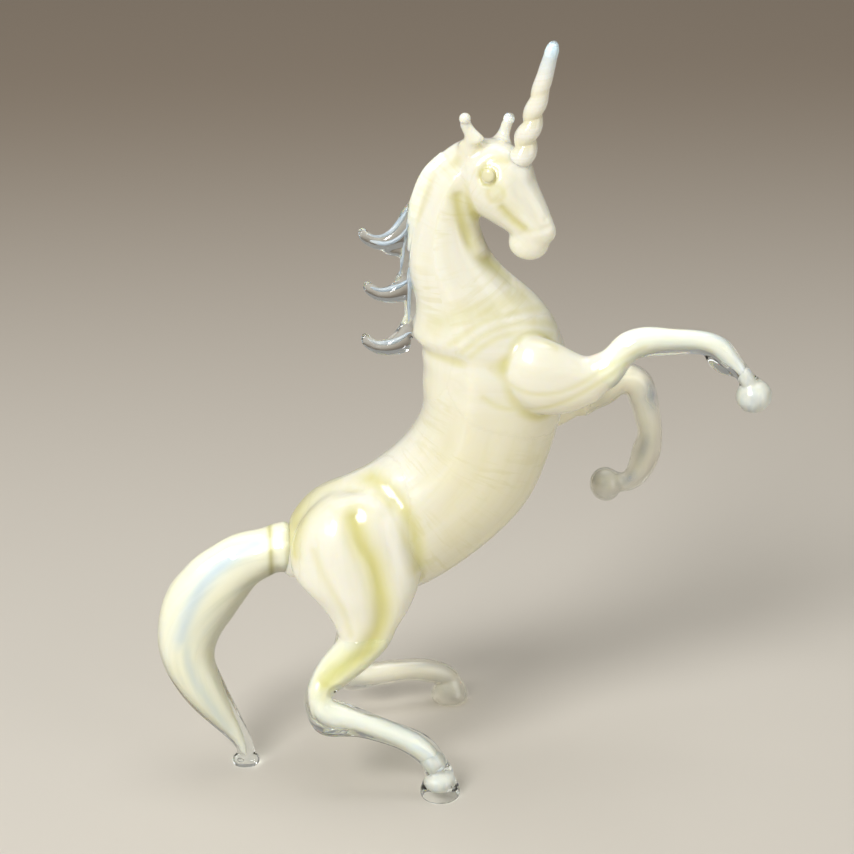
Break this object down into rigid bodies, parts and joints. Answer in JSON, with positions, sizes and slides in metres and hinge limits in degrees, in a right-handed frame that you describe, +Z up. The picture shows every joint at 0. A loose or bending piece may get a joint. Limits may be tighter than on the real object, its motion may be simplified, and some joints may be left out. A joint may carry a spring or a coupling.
{
  "type": "unicorn figurine",
  "caption": "Small rearing unicorn figurine in drawn glass, standing on its hind hooves and the end of its arched tail, with a twisted horn and a hooked mane.",
  "frame": {"origin": "middle of the outline, on the surface the figure stands on", "axes": "+X from the tail to the raised forelegs, +Y to the figure's left side, +Z up to the tip of the horn"},
  "size_m": [0.1016, 0.0416, 0.1279],
  "materials": {
    "opal_glass": "fire polished opal glass",
    "milky_glass": "fire polished clear glass over an opal core",
    "clear_glass": "fire polished clear glass",
    "eye_glass": "pressed opal glass"
  },
  "bodies": {
    "root": {"chin": "opal_glass", "head": "opal_glass", "horn": "milky_glass", "horn_tip": "clear_glass", "left_ear": "clear_glass", "left_eye": "eye_glass", "left_fore_hoof": "clear_glass", "left_foreleg": "milky_glass", "left_haunch": "opal_glass", "left_hind_hoof": "clear_glass", "left_hind_leg": "milky_glass", "left_shoulder": "opal_glass", "lower_lock": "clear_glass", "mane_strip": "clear_glass", "middle_lock": "clear_glass", "neck": "opal_glass", "right_ear": "clear_glass", "right_eye": "eye_glass", "right_fore_hoof": "clear_glass", "right_foreleg": "milky_glass", "right_haunch": "opal_glass", "right_hind_hoof": "clear_glass", "right_hind_leg": "milky_glass", "right_shoulder": "opal_glass", "tail_casing": "clear_glass", "tail_collar": "milky_glass", "tail_core": "opal_glass", "tail_foot": "clear_glass", "torso": "opal_glass", "upper_lock": "clear_glass"}
  },
  "joints": []
}
